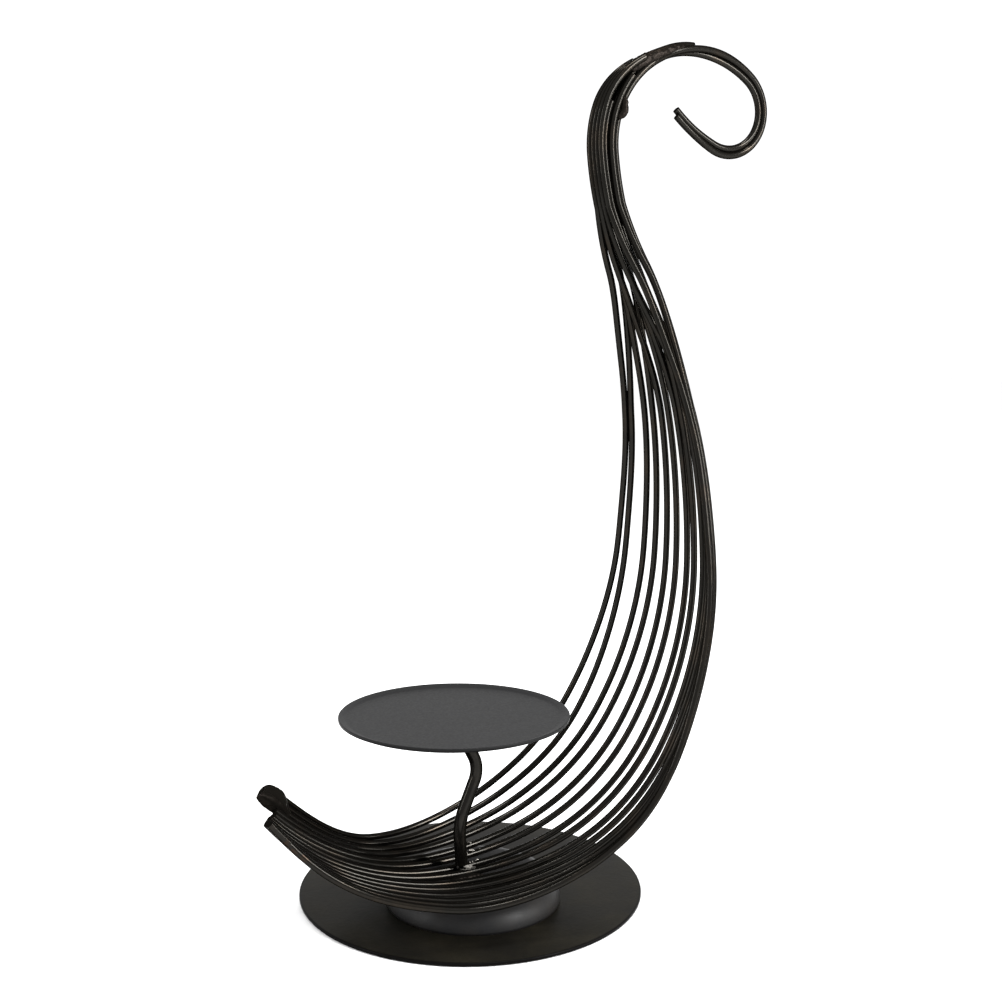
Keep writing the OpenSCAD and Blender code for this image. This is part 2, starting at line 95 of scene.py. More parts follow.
class RodSettings(bpy.types.PropertyGroup):
    """Sizes and colours of the harp's rods."""
    diameter: bpy.props.FloatProperty(
        name="Diameter", description="Diameter of every rod of the harp and hook", default=0.00275,
        min=0.002, max=0.003, unit="LENGTH", precision=5)
    play: bpy.props.FloatProperty(
        name="Play", description="Play between rods that lie side by side", default=0.00005,
        min=0, max=0.0002, unit="LENGTH", precision=5)
    radii: bpy.props.FloatVectorProperty(
        name="Side line radii", description="Radii of the side line's bends, from the tail to the tip",
        size=10, unit="LENGTH", precision=4,
        default=(0.100, 0.146, 0.089, 0.138, 0.28, 0.124, 0.0384, 0.0414, 0.0169, 0.073))
    turns: bpy.props.FloatVectorProperty(
        name="Side line turns", description="Turns of those bends in degrees, to the left or the right",
        size=10, default=(43.5, 16, 44.8, 33.1, 26.1, -20.7, -60.8, -72.9, -167.2, -18))
    tail_drop: bpy.props.FloatProperty(
        name="Tail drop", description="Direction of the tail's end in degrees below the horizontal",
        default=47.1)
    halves: bpy.props.FloatVectorProperty(
        name="Half widths", description="Half widths of the fan at even steps from the tail",
        size=6, unit="LENGTH", precision=4, default=(0.021, 0.0412, 0.0478, 0.0418, 0.033, 0.0205))
    bows: bpy.props.FloatVectorProperty(
        name="Bows", description="Inward bow of the fan's edges at even steps from the tail",
        size=6, unit="LENGTH", precision=4, default=(0.0039, 0.0018, 0.0116, 0.0169, 0.0148, 0.0113))
    fan_arc: bpy.props.FloatProperty(
        name="Fan arc", description="Arc in degrees that shares the rods out to each side", default=60.4)
    lean: bpy.props.FloatProperty(
        name="Roll", description="Roll of the fan at the tail in degrees, the far side up", default=11.5)
    lean_run: bpy.props.FloatProperty(
        name="Roll run", description="Length over which the roll fades out", default=0.062, unit="LENGTH")
    even_run: bpy.props.FloatProperty(
        name="Even run", description="Length over which the even spacing at the tail fades out",
        default=0.14, unit="LENGTH")
    keel: bpy.props.FloatVectorProperty(
        name="Keel", description="Place of the lowest point of the middle rods", size=3, unit="LENGTH",
        precision=4, default=(-0.0107, -0.0125, 0.014075))
    sides: bpy.props.IntProperty(
        name="Sides", description="Facets round a rod", default=24, min=8, max=32)
    step: bpy.props.FloatProperty(
        name="Step", description="Length between two rings of a rod", default=0.0012, min=0.001, max=0.01,
        unit="LENGTH", precision=4)
    colour: bpy.props.FloatVectorProperty(
        name="Colour", description="Main colour of the rods", subtype="COLOR",
        default=(0.0125, 0.0119, 0.0107), min=0, max=1)
    rubbed: bpy.props.FloatVectorProperty(
        name="Rubbed colour", description="Browner colour where the finish is rubbed", subtype="COLOR",
        default=(0.022, 0.0173, 0.0130), min=0, max=1)


class WeldSettings(bpy.types.PropertyGroup):
    """Grain, lumps and colour of the weld beads."""
    grain: bpy.props.FloatProperty(
        name="Grain", description="Size of the facets from which the beads are made", default=0.00035,
        min=0.0002, max=0.001, unit="LENGTH", precision=5)
    lumps: bpy.props.FloatProperty(
        name="Lumps", description="Height of the lumps on a bead", default=0.00025,
        min=0, max=0.001, unit="LENGTH", precision=5)
    colour: bpy.props.FloatVectorProperty(
        name="Colour", description="Colour of the weld beads", subtype="COLOR",
        default=(0.0066, 0.0055, 0.0048), min=0, max=1)


class StageSettings(bpy.types.PropertyGroup):
    """Light and camera."""
    light: bpy.props.FloatProperty(
        name="Light", description="Strength of the soft boxes", default=1.0, min=0.1, max=4)
    turn: bpy.props.FloatProperty(
        name="Turn", description="Degrees that the camera stands to the tail's side", default=25.3)
    lens: bpy.props.FloatProperty(
        name="Lens", description="Focal length of the camera in millimetres", default=46.7, unit="CAMERA")


GROUPS = {"holder_base": BaseSettings, "holder_dish": DishSettings, "holder_rods": RodSettings,
          "holder_welds": WeldSettings, "holder_stage": StageSettings}


# The rule of the rods

def smooth(x):
    """A smooth step from 0 at 0 to 1 at 1."""
    c = np.clip(x, 0, 1)
    return c * c * (3 - 2 * c)


def run_value(values, t):
    """A smooth run through evenly spaced values."""
    n = len(values) - 1
    v = np.concatenate([[2 * values[0] - values[1]], values, [2 * values[-1] - values[-2]]])
    x = np.clip(t, 0, 1) * n
    k = np.minimum(x.astype(int), n - 1)
    f = x - k
    a, b, c, d = v[k], v[k + 1], v[k + 2], v[k + 3]
    return (2 * b + (c - a) * f + (2 * a - 5 * b + 4 * c - d) * f ** 2
            + (3 * b - a - 3 * c + d) * f ** 3) / 2


class Harp:
    """The rods' centre lines, by the same rule as the solids under them.

    The side line runs from the tail to the hook's tip. The rods fan out to both sides of it, gather at
    the neck in rows and columns, and two of them run on and turn over each other as the hook."""
    count, middle, middle_rods = 14, 6.5, (6, 7)
    # The first bends make the body. Those beyond them make the neck and the hook.
    body_bends = 6
    # Row of each rod in the bundle, from the side line up. The top row comes down along the neck.
    row = [3, 1, 2, 0, 3, 1, 2, 0, 1, 3, 0, 2, 1, 3]
    top_row, row_drop, outer_column = 3, 2, 3
    drop_start, drop_run = 0.017, 0.034
    # Lengths before the body's end where the rows start, where they are full and where the fan is closed.
    # The columns form later than the rows, by a power.
    row_start, row_end, close_end, column_power = 0.110, 0.045, 0.020, 1.5
    # Half width of the closed fan in pitches, and its bow as a multiple of the last bow given.
    neck_half_share, neck_bow_share = 1.5, 2
    # Small moves of each rod along the fan's arc. They grow from nothing at the tail, and the high ones
    # take over from the low ones where the nudges' shares say.
    low_nudge = [0, -0.035, -0.048, -0.025, -0.041, -0.023, -0.043, -0.01, -0.027, 0, 0, 0, 0, 0]
    high_nudge = [0, 0.051, -0.025, -0.012, -0.01, 0.002, -0.01, 0.02, -0.01, 0, 0, 0, 0, 0]
    nudge_from, nudge_over, nudge_growth = 0.37, 0.3, 6.5
    # Where each rod is cut: at the tail in shares of the stagger, at the neck in shares of the reach.
    tail_cut = [1, 0.9, 0.95, 0.6, 0.45, 0, -0.45, -0.75, -1.15, -1.35, -1.85, -2.2, -2.6, -2.8]
    head_cut = [0.97, 0.65, 0.45, 0.86, 0.93, 0.65, 0.42, 0, 0.51, 1.6, 0, 0.45, 0.76, 0.97]
    tail_stagger, head_reach, tip_step = 0.004, 0.040, 0.0015
    # The hook's two rods, the rod that the crown's patch follows, and two that run on under the patch.
    inner, outer, crown = 7, 10, 9
    run_on = {5: 0.84, 8: 0.84}
    # The hook's rods come together near the neck, turn over each other, and turn back a little at the tip.
    twist_start, twist_run, twist_arc = 0.045, 0.055, 90
    pair_lead, pair_run = twist_start / 10, twist_start * 2 / 3
    untwist_run, untwist_arc = 0.033, 28
    untwist_over = untwist_run * 3 / 4
    # Length to each side of a point that gives the direction there.
    look = 0.0001

    def __init__(self, sizes):
        """Works out the side line's bends from the sizes and puts its lowest point at the keel."""
        self.sizes = sizes
        self.pitch = sizes.diameter + sizes.play
        turns = np.array(sizes.turns)
        self.r = np.array(sizes.radii) * np.sign(turns)
        self.head = np.concatenate([[-sizes.tail_drop], turns]).cumsum()
        self.start = np.concatenate([[0], self.r * np.radians(turns)]).cumsum()
        h = np.radians(self.head)
        self.x = np.concatenate([[0], self.r * (np.sin(h[1:]) - np.sin(h[:-1]))]).cumsum()
        self.z = np.concatenate([[0], self.r * (np.cos(h[:-1]) - np.cos(h[1:]))]).cumsum()
        self.body, self.length = self.start[self.body_bends], self.start[-1]
        k = 0 if self.head[1] > 0 else 1
        self.keel_at = self.start[k] - math.radians(self.head[k]) * self.r[k]
        x, z = self.side_line(np.array([self.keel_at]))[:2]
        self.shift = np.array([sizes.keel[0] - x[0], sizes.keel[2] - z[0]])

    def side_line(self, l):
        """The side line before it is put in its place: x, z and direction at the lengths l."""
        k = np.clip(np.searchsorted(self.start, l, side="left") - 1, 0, len(self.r) - 1)
        h = np.radians(self.head[k]) + (l - self.start[k]) / self.r[k]
        h0 = np.radians(self.head[k])
        return (self.x[k] + self.r[k] * (np.sin(h) - np.sin(h0)),
                self.z[k] + self.r[k] * (np.cos(h0) - np.cos(h)), h)

    def fanned(self, i, l):
        """How far rod i lies to the side of the side line and above it, in the fan and the bundle."""
        t = np.clip(l / (self.body - self.close_end), 0, 1)
        half = run_value(list(self.sizes.halves) + [self.neck_half_share * self.pitch], t)
        bows = list(self.sizes.bows)
        bow = run_value(bows + [self.neck_bow_share * bows[-1]], t)
        in_rows = smooth((l - self.body + self.row_start) / (self.row_start - self.row_end))
        in_columns = in_rows ** self.column_power
        arc = math.radians(self.sizes.fan_arc)
        high = smooth((t - self.nudge_from) / self.nudge_over)
        nudge = (1 - high) * self.low_nudge[i] + high * self.high_nudge[i]
        share = (self.middle - i) / self.middle + nudge * (1 - in_rows) * smooth(t * self.nudge_growth)
        even = 1 - smooth(l / self.sizes.even_run)
        row = self.row[i] * np.ones_like(l)
        if self.row[i] == self.top_row:
            row = self.top_row - self.row_drop * smooth((l - self.body - self.drop_start) / self.drop_run)
        across = (1 - even) * np.sin(arc * share) / math.sin(arc) + even * share
        column = self.outer_column - i // 2
        side = half * ((1 - in_columns) * across + in_columns * column / self.outer_column)
        rise = (bow * (1 - np.cos(arc * share)) / (1 - math.cos(arc)) * (1 - in_rows)
                + row * self.pitch * math.sqrt(3) / 2 * in_rows)
        return side, rise

    def points(self, i, l):
        """Points of rod i at the lengths l of the side line."""
        l = np.atleast_1d(np.asarray(l, float))
        x, z, h = self.side_line(l)
        y, rise = self.fanned(i, l)
        lean = np.radians(self.sizes.lean) * (1 - smooth(l / self.sizes.lean_run))
        y, rise = y * np.cos(lean) - rise * np.sin(lean), rise * np.cos(lean) + y * np.sin(lean)
        turn = np.radians(
            self.twist_arc * smooth((l - self.body - self.twist_start) / self.twist_run)
            - self.untwist_arc * smooth((l - self.length + self.untwist_run) / self.untwist_over))
        if i in (self.inner, self.outer):
            side = 1 if i == self.outer else -1
            paired = smooth((l - self.body + self.pair_lead) / self.pair_run)
            y = (1 - paired) * y - paired * self.pitch / 2 * (1 + side * np.cos(turn))
            rise = (1 - paired) * rise + paired * side * self.pitch / 2 * np.sin(turn)
        if i == self.crown:
            y, rise = y + rise * np.sin(turn), rise * np.cos(turn)
        return np.stack([x + self.shift[0] - np.sin(h) * rise, self.sizes.keel[1] + y,
                         z + self.shift[1] + np.cos(h) * rise], -1)

    def cuts(self, i):
        """The lengths at which rod i starts and ends."""
        start = self.tail_cut[i] * self.tail_stagger
        if i == self.inner:
            return start, self.length
        if i == self.outer:
            return start, self.length - self.tip_step
        return start, self.body + max(self.head_cut[i], self.run_on.get(i, 0)) * self.head_reach

    def way(self, i, l):
        """Direction of rod i at the length l."""
        step = self.points(i, l + self.look)[0] - self.points(i, l - self.look)[0]
        return step / np.linalg.norm(step)

    def name(self, i):
        """The CAD node of rod i."""
        return ("hook_rod_%02d" if i in (self.inner, self.outer) else "harp_rod_%02d") % (i + 1)


# Meshes and pieces

def new_object(name, data):
    """A new object in the scene that carries a mesh, a light or a camera."""
    obj = bpy.data.objects.new(name, data)
    bpy.context.scene.collection.objects.link(obj)
    return obj


def mesh_object(name, made):
    """A new object with the mesh that was made, which is then freed."""
    mesh = bpy.data.meshes.new(name)
    made.to_mesh(mesh)
    made.free()
    return new_object(name, mesh)


def settle(obj):
    """Turns an object with its modifiers into a plain mesh whose faces point outwards."""
    deps = bpy.context.evaluated_depsgraph_get()
    mesh = bpy.data.meshes.new_from_object(obj.evaluated_get(deps), depsgraph=deps)
    obj.modifiers.clear()
    obj.data = mesh
    mesh.name = obj.name
    made = bmesh.new()
    made.from_mesh(mesh)
    bmesh.ops.remove_doubles(made, verts=made.verts, dist=1e-7)
    bmesh.ops.recalc_face_normals(made, faces=made.faces)
    if made.calc_volume(signed=True) < 0:
        bmesh.ops.reverse_faces(made, faces=made.faces)
    made.to_mesh(mesh)
    made.free()
    mesh.polygons.foreach_set("use_smooth", [True] * len(mesh.polygons))
    return obj


def dress(obj, material, node):
    """Gives a finished piece its material and body, and hides the CAD node that it replaces."""
    obj.data.materials.clear()
    obj.data.materials.append(material)
    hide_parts(node)
    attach(obj, "root")


def lathe(name, profile, centre, steps):
    """A closed body of revolution round a vertical axis. The profile runs from axis to axis."""
    on_axis = 1e-9
    made = bmesh.new()
    rings = []
    for r, z in profile:
        if r < on_axis:
            rings.append([made.verts.new((centre[0], centre[1], z))])
        else:
            rings.append([made.verts.new((centre[0] + r * math.cos(2 * math.pi * k / steps),
                                          centre[1] + r * math.sin(2 * math.pi * k / steps), z))
                          for k in range(steps)])
    for a, b in zip(rings, rings[1:]):
        for k in range(steps):
            m = (k + 1) % steps
            corners = [a[k % len(a)], a[m % len(a)], b[m % len(b)], b[k % len(b)]]
            made.faces.new(list(dict.fromkeys(corners)))
    return settle(mesh_object(name, made))


def rounded(corner_from, corner, corner_to, radius, steps=6):
    """Points of an arc that rounds a corner of a profile."""
    a, c, b = Vector(corner_from), Vector(corner), Vector(corner_to)
    u, v = (a - c).normalized(), (b - c).normalized()
    half = math.acos(max(-1, min(1, u.dot(v)))) / 2
    reach = radius / math.tan(half)
    middle = c + (u + v).normalized() * (radius / math.sin(half))
    p, q = c + u * reach - middle, c + v * reach - middle
    out = []
    for k in range(steps + 1):
        way = p.lerp(q, k / steps).normalized()
        out.append(tuple(middle + way * radius))
    return out


# Swept rods

def sweep_tree():
    """Geometry Nodes: a round section swept along a path whose points carry their share of the radius."""
    tree = bpy.data.node_groups.get("Swept rod")
    if tree:
        return tree
    tree = bpy.data.node_groups.new("Swept rod", "GeometryNodeTree")
    face = tree.interface
    face.new_socket(name="Path", in_out="INPUT", socket_type="NodeSocketGeometry")
    radius_input = face.new_socket(name="Radius", in_out="INPUT", socket_type="NodeSocketFloat")
    radius_input.default_value = 0.001375
    sides_input = face.new_socket(name="Sides", in_out="INPUT", socket_type="NodeSocketInt")
    sides_input.default_value = 20
    face.new_socket(name="Material", in_out="INPUT", socket_type="NodeSocketMaterial")
    face.new_socket(name="Rod", in_out="OUTPUT", socket_type="NodeSocketGeometry")
    node = tree.nodes.new
    given, out = node("NodeGroupInput"), node("NodeGroupOutput")
    curve, radius = node("GeometryNodeMeshToCurve"), node("GeometryNodeSetCurveRadius")
    share = node("GeometryNodeInputNamedAttribute")
    share.data_type = "FLOAT"
    share.inputs["Name"].default_value = "thickness"
    circle, sweep = node("GeometryNodeCurvePrimitiveCircle"), node("GeometryNodeCurveToMesh")
    sweep.inputs["Fill Caps"].default_value = True
    shade = node("GeometryNodeSetShadeSmooth")
    real, paint = node("GeometryNodeRealizeInstances"), node("GeometryNodeSetMaterial")
    link = tree.links.new
    link(given.outputs["Path"], curve.inputs["Mesh"])
    link(curve.outputs["Curve"], radius.inputs["Curve"])
    link(share.outputs["Attribute"], radius.inputs["Radius"])
    link(given.outputs["Sides"], circle.inputs["Resolution"])
    link(given.outputs["Radius"], circle.inputs["Radius"])
    link(radius.outputs["Curve"], sweep.inputs["Curve"])
    link(circle.outputs["Curve"], sweep.inputs["Profile Curve"])
    link(sweep.outputs["Mesh"], shade.inputs["Geometry"])
    link(shade.outputs["Geometry"], real.inputs["Geometry"])
    link(real.outputs["Geometry"], paint.inputs["Geometry"])
    link(given.outputs["Material"], paint.inputs["Material"])
    link(paint.outputs["Geometry"], out.inputs["Rod"])
    return tree


def rounded_end(radius, share):
    """Depths and thicknesses of the rings that round a rod's end over a share of its radius."""
    depth = radius * share
    return [(depth * (1 - math.cos(a)), 1 - share + share * math.sin(a))
            for a in np.radians([0, 15, 32, 50, 70, 90])]


def swept(name, points, radius, sides, material, rounding):
    """A rod along points. Rounding gives the share of the radius that is rounded at each end."""
    # No ring is thinner than this share, and none lies closer to a rounded end than this length.
    thinnest, clear = 0.02, radius / 3
    pts = np.asarray(points, float)
    at = np.concatenate([[0], np.linalg.norm(np.diff(pts, axis=0), axis=1).cumsum()])
    first = rounded_end(radius, rounding[0])
    last = [(at[-1] - depth, thickness) for depth, thickness in reversed(rounded_end(radius, rounding[1]))]
    inside = [(float(a), 1.0) for a in at if first[-1][0] + clear < a < last[0][0] - clear]
    rings = first + inside + last
    lengths = np.array([length for length, thickness in rings])
    place = np.stack([np.interp(lengths, at, pts[:, k]) for k in range(3)], -1)
    thick = np.maximum(np.array([thickness for length, thickness in rings]), thinnest)
    mesh = bpy.data.meshes.new(name)
    mesh.from_pydata([tuple(p) for p in place], [(k, k + 1) for k in range(len(place) - 1)], [])
    mesh.attributes.new("thickness", "FLOAT", "POINT").data.foreach_set("value", thick.astype(np.float32))
    obj = new_object(name, mesh)
    modifier = obj.modifiers.new("Swept rod", "NODES")
    modifier.node_group = sweep_tree()
    values = {"Radius": radius, "Sides": sides, "Material": material}
    for item in modifier.node_group.interface.items_tree:
        if item.in_out == "INPUT" and item.name in values:
            modifier[item.identifier] = values[item.name]
    return settle(obj)


# Beads and lumps of weld

def lumpy(obj, height, seed):
    """Settles a bead and moves its points in and out a little, by broad lumps and finer ones."""
    to_mm, broad, fine, fine_share = 1000, 0.55, 1.4, 0.5
    settle(obj)
    normals = [v.normal.copy() for v in obj.data.vertices]
    for v, way in zip(obj.data.vertices, normals):
        p = v.co * to_mm
        step = (noise.noise(p * broad + Vector((seed, 0, 0)))
                + fine_share * noise.noise(p * fine + Vector((0, seed, 0))))
        v.co += way * height * step
    obj.data.update()
    return obj


def weld(name, drops, grain, lumps, seed):
    """A bead of run metal: overlapping drops made one skin, smoothed and lightly lumped.

    Each drop is its centre, its radii across, through and along, and the ways along and across."""
    made = bmesh.new()
    for centre, radii, along, across in drops:
        z = Vector(along).normalized()
        x = Vector(across)
        x = (x - z * x.dot(z)).normalized()
        turn = Matrix((x, z.cross(x), z)).transposed().to_4x4()
        place = Matrix.Translation(Vector(centre)) @ turn @ Matrix.Diagonal((*radii, 1))
        bmesh.ops.create_icosphere(made, subdivisions=4, radius=1, matrix=place)
    obj = mesh_object(name, made)
    skin = obj.modifiers.new("One skin", "REMESH")
    skin.mode = "VOXEL"
    skin.voxel_size = grain
    skin.use_smooth_shade = True
    ease = obj.modifiers.new("Ease", "SMOOTH")
    ease.factor = 0.5
    ease.iterations = 6
    return lumpy(obj, lumps, seed)


def loft(name, rings, lumps, seed):
    """A closed body through rings of points, rounded by subdivision and lightly lumped."""
    made = bmesh.new()
    rows = [[made.verts.new(tuple(p)) for p in ring] for ring in rings]
    n = len(rows[0])
    for a, b in zip(rows, rows[1:]):
        for k in range(n):
            made.faces.new((a[k], a[(k + 1) % n], b[(k + 1) % n], b[k]))
    for row in (rows[0], rows[-1]):
        middle = made.verts.new(sum((v.co for v in row), Vector()) / n)
        for k in range(n):
            made.faces.new((row[k], row[(k + 1) % n], middle))
    bmesh.ops.recalc_face_normals(made, faces=made.faces)
    obj = mesh_object(name, made)
    fine = obj.modifiers.new("Round", "SUBSURF")
    fine.levels = fine.render_levels = 2
    return lumpy(obj, lumps, seed)


# Finishes

class Nodes:
    """A small helper to lay out a material's nodes."""

    def __init__(self, name):
        """Starts a material of that name and keeps its shader and its Object coordinates."""
        self.material = bpy.data.materials.new(name)
        self.material.use_nodes = True
        self.tree = self.material.node_tree
        self.shader = self.tree.nodes["Principled BSDF"]
        self.place = self.tree.nodes.new("ShaderNodeTexCoord").outputs["Object"]

    def add(self, kind, **values):
        """A new node with its settings and inputs given by name."""
        node = self.tree.nodes.new(kind)
        for key, value in values.items():
            if hasattr(node, key):
                setattr(node, key, value)
            else:
                self.put(node.inputs[key], value)
        return node

    def put(self, socket, value):
        """Links another node's socket into this one, or sets its value."""
        if isinstance(value, bpy.types.NodeSocket):
            self.tree.links.new(value, socket)
        else:
            socket.default_value = value

    def noise(self, scale, detail=4.0, rough=0.55, twist=0.0):
        """A cloudy pattern, with its scale per metre."""
        node = self.add("ShaderNodeTexNoise", Scale=scale, Detail=detail, Roughness=rough, Distortion=twist)
        self.put(node.inputs["Vector"], self.place)
        return node.outputs["Fac"]

    def span(self, value, low, high, to_low=0.0, to_high=1.0):
        """Stretches the span from low to high to the one from to_low to to_high, and clamps it."""
        node = self.add("ShaderNodeMapRange", clamp=True)
        for key, given in (("Value", value), ("From Min", low), ("From Max", high),
                           ("To Min", to_low), ("To Max", to_high)):
            self.put(node.inputs[key], given)
        return node.outputs["Result"]

    def mix(self, factor, a, b):
        """A mix of two colours. A Mix node has more sockets than these, which are the colours' own."""
        factor_in, first_in, second_in, colour_out = 0, 6, 7, 2
        node = self.add("ShaderNodeMix", data_type="RGBA")
        self.put(node.inputs[factor_in], factor)
        for key, value in ((first_in, a), (second_in, b)):
            self.put(node.inputs[key], value if isinstance(value, bpy.types.NodeSocket) else (*value, 1))
        return node.outputs[colour_out]

    def product(self, a, b):
        """One factor times another."""
        node = self.add("ShaderNodeMath", operation="MULTIPLY")
        self.put(node.inputs[0], a)
        self.put(node.inputs[1], b)
        return node.outputs[0]

    def distance(self, centre, flat=True):
        """Distance from an upright axis through centre, or from the centre itself."""
        mapped = self.add("ShaderNodeMapping")
        self.put(mapped.inputs["Vector"], self.place)
        mapped.inputs["Location"].default_value = (-centre[0], -centre[1], 0 if flat else -centre[2])
        mapped.inputs["Scale"].default_value = (1, 1, 0 if flat else 1)
        length = self.add("ShaderNodeVectorMath", operation="LENGTH")
        self.put(length.inputs[0], mapped.outputs[0])
        return length.outputs["Value"]

    def bump(self, *layers):
        """Bumps laid over each other, each a height and its depth in metres."""
        below = None
        for height, depth in layers:
            node = self.add("ShaderNodeBump", Strength=1.0, Distance=depth)
            self.put(node.inputs["Height"], height)
            if below is not None:
                self.put(node.inputs["Normal"], below)
            below = node.outputs["Normal"]
        self.put(self.shader.inputs["Normal"], below)

    def finish(self, colour, roughness, metallic=0.0, specular=0.5, edge=1.0, haze=0.0):
        """Sets the shader. Edge is the strength of grazing reflections, haze that of a faint warm sheen."""
        self.put(self.shader.inputs["Base Color"], colour)
        self.put(self.shader.inputs["Roughness"], roughness)
        self.shader.inputs["Metallic"].default_value = metallic
        self.shader.inputs["Specular IOR Level"].default_value = specular
        self.shader.inputs["Specular Tint"].default_value = (edge, edge, edge, 1)
        self.shader.inputs["Sheen Weight"].default_value = haze
        self.shader.inputs["Sheen Roughness"].default_value = 0.9
        self.shader.inputs["Sheen Tint"].default_value = (1.0, 0.9, 0.75, 1)
        return self.material


def scaled(colour, share):
    """A colour made lighter or darker by a share."""
    return tuple(v * share for v in colour)


def rod_finish(settings):
    """Burnished black iron: brownish where rubbed, rust brown by the near rods' tail ends."""
    rust = (0.050, 0.026, 0.014)
    rust_rod, rust_at, rust_full, rust_gone = 11, 0.002, 0.004, 0.013
    n = Nodes("Burnished rod iron")
    cloud, scale = n.noise(70, detail=5), n.noise(900, rough=0.6)
    colour = n.mix(n.span(cloud, 0.5, 0.78), settings.colour, settings.rubbed)
    from_end = n.distance(Harp(settings).points(rust_rod, rust_at)[0], flat=False)
    near = n.span(from_end, rust_full, rust_gone, to_low=1.0, to_high=0.0)
    patches = n.span(n.noise(240, detail=3), 0.42, 0.6)
    colour = n.mix(n.product(near, patches), colour, rust)
    colour = n.mix(n.span(scale, 0.35, 0.75, to_high=0.4), colour, scaled(settings.colour, 0.5))
    n.bump((scale, 0.000002), (n.noise(260, detail=3), 0.000009))
    roughness = n.span(scale, 0.3, 0.7, to_low=0.13, to_high=0.19)
    return n.finish(colour, roughness, metallic=1.0, edge=0.15, haze=0.007)


def plate_finish(settings):
    """Lacquered plate: cloudy warm patina, darker in a thin band at the rim."""
    speck, rim = (0.002, 0.0018, 0.0015), (0.0015, 0.0013, 0.0012)
    rim_from, rim_full = 0.985, 0.998
    low, high = PLATE_BOX
    centre, radius = (low + high) / 2, (high.x - low.x) / 2
    n = Nodes("Lacquered plate iron")
    cloud, fine = n.noise(38, detail=6, rough=0.6, twist=0.3), n.noise(620, rough=0.6)
    colour = n.mix(n.span(cloud, 0.38, 0.68), settings.colour, settings.patina)
    colour = n.mix(n.span(fine, 0.4, 0.8, to_high=0.35), colour, speck)
    at_rim = n.span(n.distance(centre), radius * rim_from, radius * rim_full)
    colour = n.mix(at_rim, colour, rim)
    n.bump((fine, 0.00004), (cloud, 0.0002))
    return n.finish(colour, n.span(cloud, 0.3, 0.7, to_low=0.30, to_high=0.40), specular=0.03)


def dome_finish():
    """The dome's lacquer: greyer and rougher than the plate's, with a stronger reflection."""
    grey, warm = (0.0080, 0.0080, 0.0083), (0.0120, 0.0108, 0.0096)
    n = Nodes("Lacquered dome iron")
    cloud, fine = n.noise(60, detail=5), n.noise(700, rough=0.6)
    colour = n.mix(n.span(cloud, 0.4, 0.7), grey, warm)
    n.bump((fine, 0.00003),)
    return n.finish(colour, n.span(fine, 0.3, 0.7, to_low=0.40, to_high=0.50), specular=0.14)


def dish_finish(settings):
    """Matt black dish, softly clouded above, with painted shade that darkens its underside."""
    # Colour of the painted shade on the dish's underside.
    under = (0.0016, 0.0016, 0.0015)
    n = Nodes("Matt dish iron")
    cloud, fine = n.noise(45, detail=5), n.noise(1100, rough=0.6)
    colour = n.mix(n.span(cloud, 0.35, 0.7), settings.colour, scaled(settings.colour, 0.86))
    painted_shade_facing = n.add("ShaderNodeSeparateXYZ", Vector=n.add("ShaderNodeNewGeometry").outputs["Normal"])
    # Painted shade: faces that point downwards take the much darker underside colour.
    colour = n.mix(n.span(painted_shade_facing.outputs["Z"], -0.2, 0.2), under, colour)
    n.bump((fine, 0.00003),)
    return n.finish(colour, n.span(fine, 0.3, 0.7, to_low=0.42, to_high=0.52), specular=0.08)


def weld_finish(settings):
    """Run metal under the wax: dark brown, with clouds of a lighter brown."""
    n = Nodes("Weld bead iron")
    cloud, fine = n.noise(260, detail=5), n.noise(1300, rough=0.65)
    colour = n.mix(n.span(cloud, 0.4, 0.7), settings.colour, scaled(settings.colour, 1.5))
    n.bump((fine, 0.00001), (cloud, 0.00003))
    roughness = n.span(cloud, 0.3, 0.7, to_low=0.30, to_high=0.4)
    return n.finish(colour, roughness, metallic=1.0, edge=0.15, haze=0.010)


def spatter_finish(settings):
    """Spatter that was thrown on after the wax, with bare bright specks."""
    bare = (0.42, 0.40, 0.36)
    n = Nodes("Bare weld spatter")
    specks = n.span(n.noise(420, detail=3, rough=0.6), 0.44, 0.56)
    colour = n.mix(specks, settings.colour, bare)
    n.bump((n.noise(900), 0.00005),)
    return n.finish(colour, n.span(specks, 0, 1, to_low=0.38, to_high=0.26), metallic=1.0, edge=0.6)


# Plate, dome and dish

def plate_disc(settings):
    """The flat round plate with its two edges rounded."""
    low, high = PLATE_BOX
    r, t, bevel = (high.x - low.x) / 2, high.z, settings.bevel
    inner_ring, outer_ring = r * 0.4, r * 0.8
    under = [(0, 0), (inner_ring, 0), (outer_ring, 0)]
    edge = rounded((0, 0), (r, 0), (r, t), bevel) + rounded((r, 0), (r, t), (0, t), bevel)
    top = [(outer_ring, t), (inner_ring, t), (0, t)]
    plate = lathe("plate_disc", under + edge + top, (low + high) / 2, settings.facets)
    dress(plate, plate_finish(settings), "base_plate")


def plate_dome(settings):
    """The low dome: a flat top with a quarter-round shoulder, hollow below."""
    wall, outer_step, inner_step = 0.0015, 5, 10
    low, high = DOME_BOX
    r, top, foot = (high.x - low.x) / 2, high.z, low.z
    h = top - foot
    outer = [(r - h + h * math.cos(a), foot + h * math.sin(a))
             for a in np.radians(np.arange(0, 91, outer_step))]
    inner = [(r - h + (h - wall) * math.cos(a), foot + (h - wall) * math.sin(a))
             for a in np.radians(np.arange(90, -1, -inner_step))]
    profile = [(0, top - wall)] + inner + outer + [((r - h) / 2, top), (0, top)]
    dome = lathe("plate_dome", profile, (low + high) / 2, settings.facets)
    dress(dome, dome_finish(), "base_dome")


